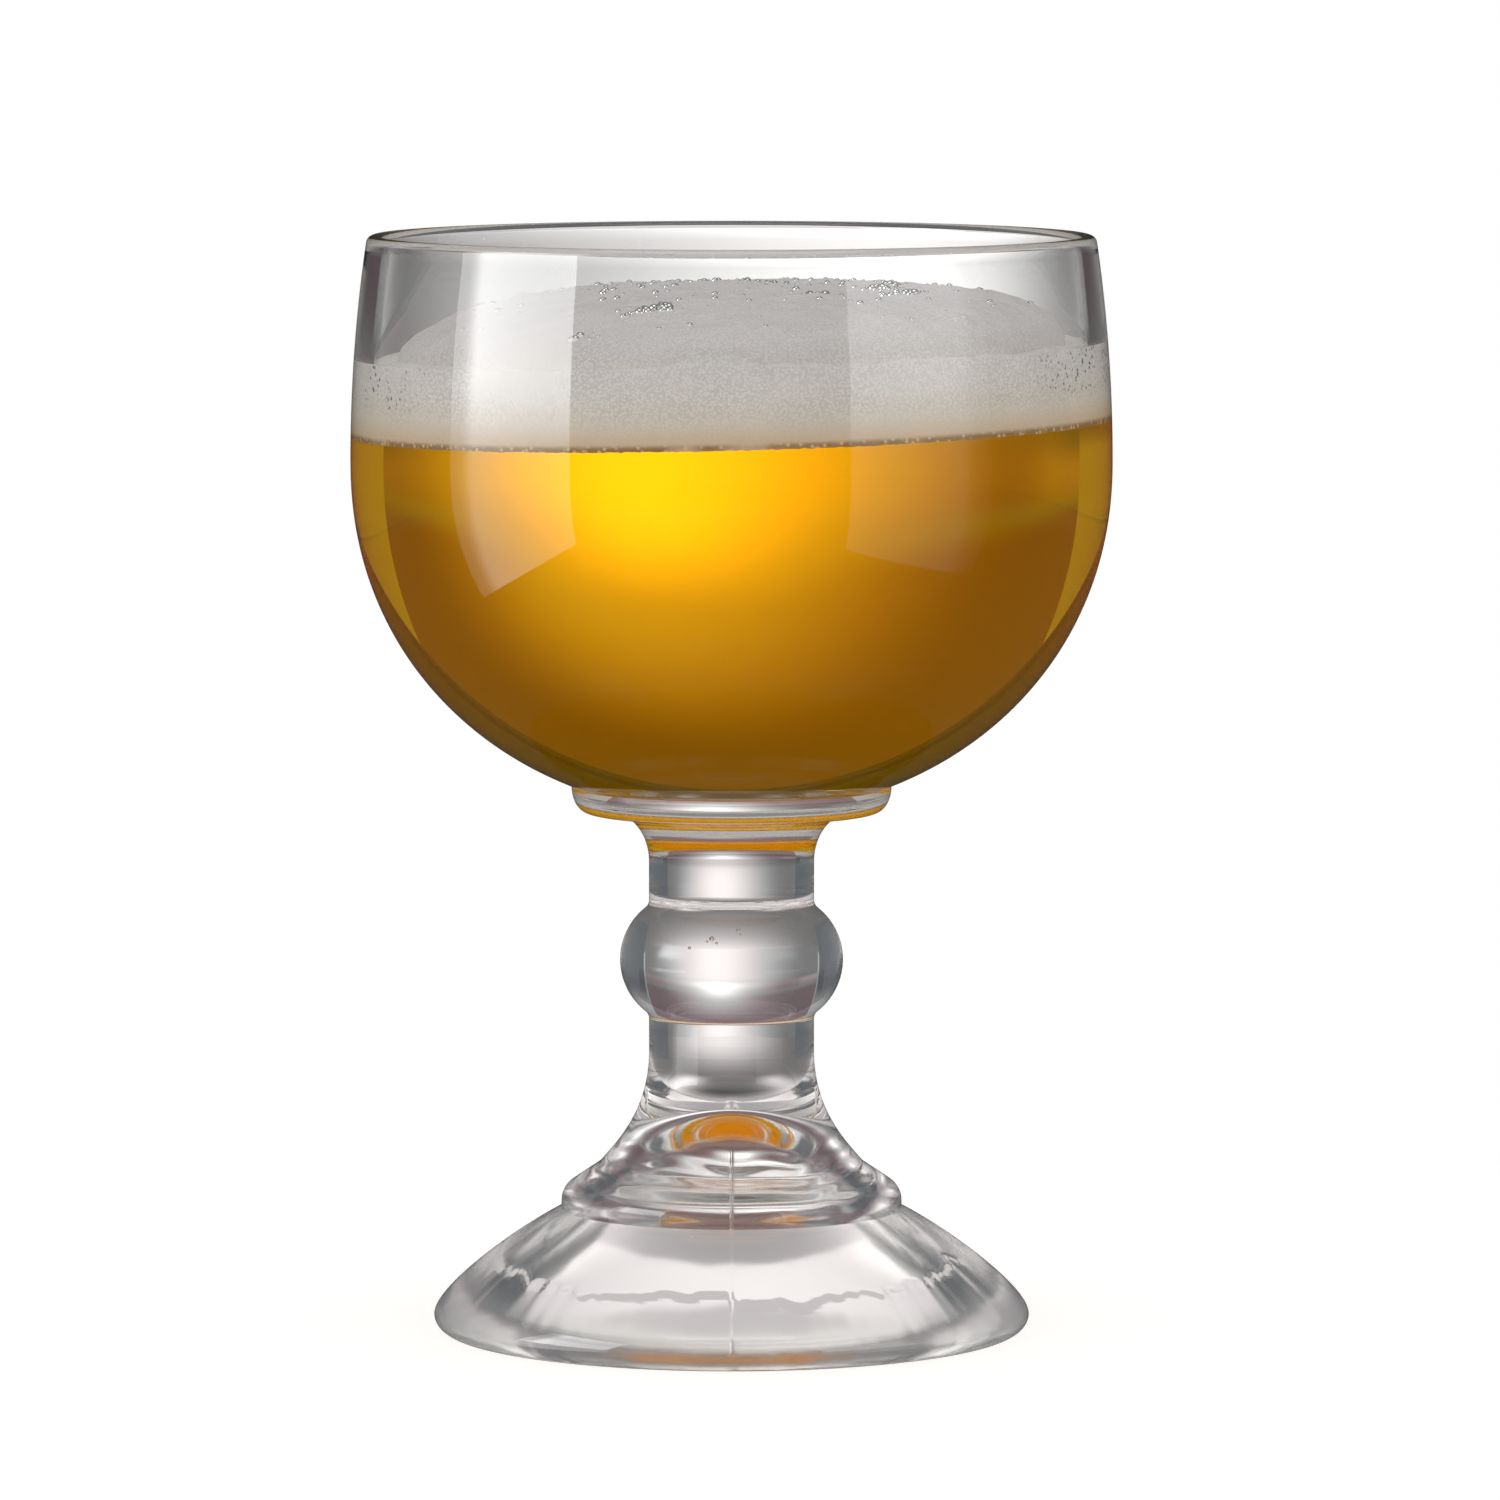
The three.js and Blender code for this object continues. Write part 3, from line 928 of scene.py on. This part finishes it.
world = bpy.data.worlds.new("studio")
world.use_nodes = True
world.node_tree.nodes.clear()
scene.world = world
start = Wire(world.node_tree)
x, y, z = start.node("ShaderNodeTexCoord", output="Generated").axes()
sideways = start.math("ABSOLUTE", start.math("ARCTAN2", x, y)) * (180 / math.pi)
upward = start.math("ARCSINE", z) * (180 / math.pi)
walls = 0.17 + 0.25 * upward.step(-5, -3.5) + 0.35 * sideways.step(70, 110)
room = walls * (1 - 0.4 * upward.step(30, 50))
through = room + (1 - upward.step(-14, -10)) * (ROOM_BELOW - room)
paths = start.node("ShaderNodeLightPath").socket.node.outputs
seen, mirrored, passed = [
    Wire(world.node_tree, paths[name]) for name in ("Is Camera Ray", "Is Glossy Ray", "Is Transmission Ray")
]
light = ROOM_LIGHT + mirrored * (ROOM_MIRRORED - ROOM_LIGHT)
light = light + passed * (through - light)
light = light + seen * (1 - light)
backdrop = start.node("ShaderNodeBackground", None, {"Color": WHITE, "Strength": light})
start.node("ShaderNodeOutputWorld", None, {"Surface": backdrop})

# Card. A lit sheet behind the glass, which only shows through it. Its upper part lights the beer, with a
# bright core and a wide glow in a dim, warm surround, and its lower part lights the stem.
CARD_DISTANCE = 0.45
CARD_WIDTH = 0.35
CARD_HEIGHTS = (-0.08, 0.5)
PALE_ROSE = (1, 0.93, 0.925, 1)
PALE_CREAM = (1, 0.98, 0.97, 1)
DIM_ROSE = (1, 0.74, 0.8, 1)


def falling(apart):
    """1 where this is 0, falling away on both sides."""
    return apart.math("EXPONENT", apart * apart * -1)


def bell_curve(value, centre, width):
    """1 at the centre, falling away over the width on both sides."""
    return falling((value - centre) * (1 / width))


def upright(across, distance, low, high):
    """Corners of an upright sheet that faces the camera."""
    sides = ((-across, low), (across, low), (across, high), (-across, high))
    return [(x, distance, z) for x, z in sides]


lit_card, start = finish_tree("lit_card")
x, y, z = start.node("ShaderNodeTexCoord", output="Object").axes()
upper = z.step(0.088, 0.106)
shift = z.step(0.105, 0.130)
narrow = z.step(0.105, 0.150)
core = falling((x - 0.034 + 0.004 * shift) * (15.4 + 4.6 * shift))
core = core * upper * (0.95 + 0.22 * shift) * (1 - z.step(0.105, 0.160))
wide = falling((x - 0.04) * (7.4 + 1.7 * narrow))
wide = wide * (0.95 - 0.15 * upper + 0.1 * narrow) * (1 - z.step(0.08, 0.27))
gap = bell_curve(x, -0.155, 0.04) * upper * (1 - z.step(0.115, 0.140))
left_edge = (1 - x.step(-0.26, -0.19)) * upper * (1 - z.step(0.11, 0.14))
surround = 0.17 + 0.16 * upper - 0.11 * narrow
glow = surround + core + wide - 0.07 * gap + 0.1 * left_edge
low_tint = glow.step(0.25, 0.9).tint(WHITE, PALE_ROSE)
dim = (1 - glow.step(0.2, 0.8)) * (1 - bell_curve(z, 0.130, 0.008))
high_tint = dim.tint(PALE_CREAM, DIM_ROSE)
colour = upper.tint(low_tint, high_tint)
card_face = start.node("ShaderNodeEmission", None, {"Color": colour, "Strength": glow})
start.node("ShaderNodeOutputMaterial", None, {"Surface": card_face})
flat_stage("card", upright(CARD_WIDTH, CARD_DISTANCE, *CARD_HEIGHTS), lit_card, "transmission")

# Flags. Grey and black sheets and gauzes close to the glass, as a photographer sets them. Those seen through
# it darken the rim, the dry wall and the sides of the stem. Those seen in reflections keep the bowl out of
# the foot and the knop, and soften the softboxes on the knop.
FLAG_GREY = (0.85, 0.92, 1, 1)
FLAG_LIGHT = 0.13
FLAG_DISTANCE = 0.1
RIM_FLAG_HEIGHT = 0.141
RIM_FLAG_WIDTH = 0.09
RIM_FLAG_SPAN = (0.0595, 0.108)
WALL_GAUZE = (0.15, FLAG_DISTANCE, 0.1385, 0.176)
STEM_GAUZE = (0.1, FLAG_DISTANCE, 0.058, 0.093)
STEM_FLAG_ENDS = ((0.078, 0.112), (0.13, -0.02))
STEM_FLAG_HEIGHTS = (0.014, 0.1)
FOOT_FLAG = (0.0185, 0.06, 0.047)
KNOP_FLAG = (0.0133, 0.03, 0.0688)
LEFT_KNOP_GAUZE = ((-0.0117, -0.0279), (-0.0293, -0.0072))
RIGHT_KNOP_GAUZE = ((0.0066, -0.0298), (0.0287, -0.0104))
KNOP_GAUZE_HEIGHTS = (0.055, 0.080)
KNOP_WINDOW_HEIGHT = 0.0622
KNOP_WINDOW_SIZE = 0.0045


def gauze(name, cover, colour=WHITE, light=0.0):
    """A finish that hides what is behind it, by a share that follows the place on the sheet."""
    finish, start = finish_tree(name)
    x, y, z = start.node("ShaderNodeTexCoord", output="Object").axes()
    clear = start.node("ShaderNodeBsdfTransparent")
    face = start.node("ShaderNodeEmission", None, {"Color": colour, "Strength": light})
    mixed = start.node("ShaderNodeMixShader", None, {0: cover(x, y, z), 1: clear, 2: face})
    start.node("ShaderNodeOutputMaterial", None, {"Surface": mixed})
    return finish


def rim_cover(x, y, z):
    return 1 - x.math("ABSOLUTE", x).step(0.056, 0.09)


def wall_cover(x, y, z):
    sides = x.math("ABSOLUTE", x).step(0.042, 0.072)
    return 0.55 * sides + 0.22 * (1 - sides) * (1 - z.step(0.156, 0.163))


def stem_cover(x, y, z):
    return 0.35 * z.step(0.058, 0.067)


def stem_side_cover(x, y, z):
    return (1 - z.step(0.075, 0.1)) * y.step(-0.02, 0.02)


def knop_cover(centre):
    """A gauze with a soft window, at a place along the sheet."""

    def cover(x, y, z):
        along = bell_curve(y, centre, KNOP_WINDOW_SIZE)
        return 1 - 0.8 * along * bell_curve(z, KNOP_WINDOW_HEIGHT, KNOP_WINDOW_SIZE)

    return cover


def between(ends, heights):
    """Corners of an upright sheet between two places on the table."""
    (start, end), (low, high) = ends, heights
    return [(*start, low), (*end, low), (*end, high), (*start, high)]


def half_ring(turn, inner, outer, height):
    """Corners of a level half ring round the axis."""
    outline = arc((0, 0), outer, outer, turn, turn + 180, steps=24)
    outline += arc((0, 0), inner, inner, turn + 180, turn, steps=24)
    return [(x, y, height) for x, y in outline]


rim_near, rim_far = RIM_FLAG_SPAN
rim_corners = [
    (x, y, RIM_FLAG_HEIGHT)
    for x, y in (
        (-RIM_FLAG_WIDTH, rim_near),
        (RIM_FLAG_WIDTH, rim_near),
        (RIM_FLAG_WIDTH, rim_far),
        (-RIM_FLAG_WIDTH, rim_far),
    )
]
flat_stage("stem_gauze", upright(*STEM_GAUZE), gauze("stem_gauze", stem_cover), "transmission")
flat_stage("rim_flag", rim_corners, gauze("rim_flag", rim_cover, FLAG_GREY, FLAG_LIGHT), "transmission")
flat_stage("side_flag", upright(*WALL_GAUZE), gauze("side_flag", wall_cover), "transmission")
stem_flag = gauze("stem_flag", stem_side_cover, FLAG_GREY, FLAG_LIGHT)
for name, side in (("left_stem_flag", -1), ("right_stem_flag", 1)):
    ends = [(x * side, y) for x, y in STEM_FLAG_ENDS]
    flat_stage(name, between(ends, STEM_FLAG_HEIGHTS), stem_flag, "transmission")

foot_flag, start = finish_tree("foot_flag")
black = start.node("ShaderNodeEmission", None, {"Color": WHITE, "Strength": 0.0})
start.node("ShaderNodeOutputMaterial", None, {"Surface": black})
for name, turn, sizes in (
    ("front_foot_flag", 180, FOOT_FLAG),
    ("back_foot_flag", 0, FOOT_FLAG),
    ("front_knop_flag", 180, KNOP_FLAG),
    ("back_knop_flag", 0, KNOP_FLAG),
):
    flat_stage(name, half_ring(turn, *sizes), foot_flag, "glossy")
for name, ends, centre in (
    ("left_knop_gauze", LEFT_KNOP_GAUZE, -0.0176),
    ("right_knop_gauze", RIGHT_KNOP_GAUZE, -0.0201),
):
    flat_stage(name, between(ends, KNOP_GAUZE_HEIGHTS), gauze(name, knop_cover(centre)), "glossy")

# Table. A pale matt top that fades to white, and keeps the glass's soft shadow. Through the glass it shows
# painted light and painted shade that no lamp casts: a painted path of light from the card, painted pale
# patches under, in front of and beside the foot, and painted shade behind it.
TABLE_RADIUS = 0.42
TABLE_DROP = 0.0002
TABLE_PAINT = (0.85, 0.85, 0.85, 1)
TABLE_GLOW = 0.47
TABLE_ROSE = (1, 0.94, 0.935, 1)

pale_table, start = finish_tree("pale_table")
x, y, z = start.node("ShaderNodeTexCoord", output="Object").axes()
distance = start.math("SQRT", x * x + y * y)
aside = start.math("ABSOLUTE", x)
passed = start.node("ShaderNodeLightPath", output="Is Transmission Ray")
matt = start.node("ShaderNodeBsdfDiffuse", None, {"Color": TABLE_PAINT})
glow = start.node("ShaderNodeEmission", None, {"Color": WHITE, "Strength": TABLE_GLOW})
near = start.node("ShaderNodeAddShader", None, {0: matt, 1: glow})
far = start.node("ShaderNodeEmission", None, {"Color": WHITE, "Strength": 1.0})
white = start.node("ShaderNodeMixShader", None, {0: distance.step(0.09, 0.24), 1: near, 2: far})
# Painted light and painted shade, seen only through the glass: the path is a painted pool of light from the
# card, inside, bright and the wings are painted pale patches under and beside the foot, in front is painted
# light before it, and behind and shade are painted shade behind it.
slant = start.math("DIVIDE", x, start.math("ABSOLUTE", y) + 0.02)
path = bell_curve(slant, 0.09, 0.36) * y.step(0.06, 0.48)
behind = (y - 26 * x * x).step(0.0112, 0.0122)
inside = (1 - distance.step(0.040, 0.075)) * (0.45 - 0.18 * behind * bell_curve(x, 0.001, 0.022))
bright = bell_curve(x, 0.003, 0.04) * y.step(-0.007, -0.003) * (1 - behind)
painted_side_patches = bell_curve(aside, 0.033, 0.012) * y.step(0.014, 0.026) * (1 - y.step(0.09, 0.13))
painted_front_light = 1 - y.step(-0.05, -0.02)
shade = bell_curve(x, 0.004, 0.02) * bell_curve(y, 0.064, 0.016)
painted_under_foot = inside + 0.43 * bright + painted_side_patches * (0.68 + 4 * x)
painted_table_light = 0.15 + 0.9 * path + painted_under_foot + 0.5 * painted_front_light - 0.13 * shade
below = start.node("ShaderNodeEmission", None, {"Color": TABLE_ROSE, "Strength": painted_table_light})
table_top = start.node("ShaderNodeMixShader", None, {0: passed, 1: white, 2: below})
start.node("ShaderNodeOutputMaterial", None, {"Surface": table_top})
table_edge = [(TABLE_RADIUS * math.cos(a), TABLE_RADIUS * math.sin(a), -TABLE_DROP) for a in turn_angles(96)]
table = flat_stage("table", table_edge, pale_table)
table.visible_glossy = False
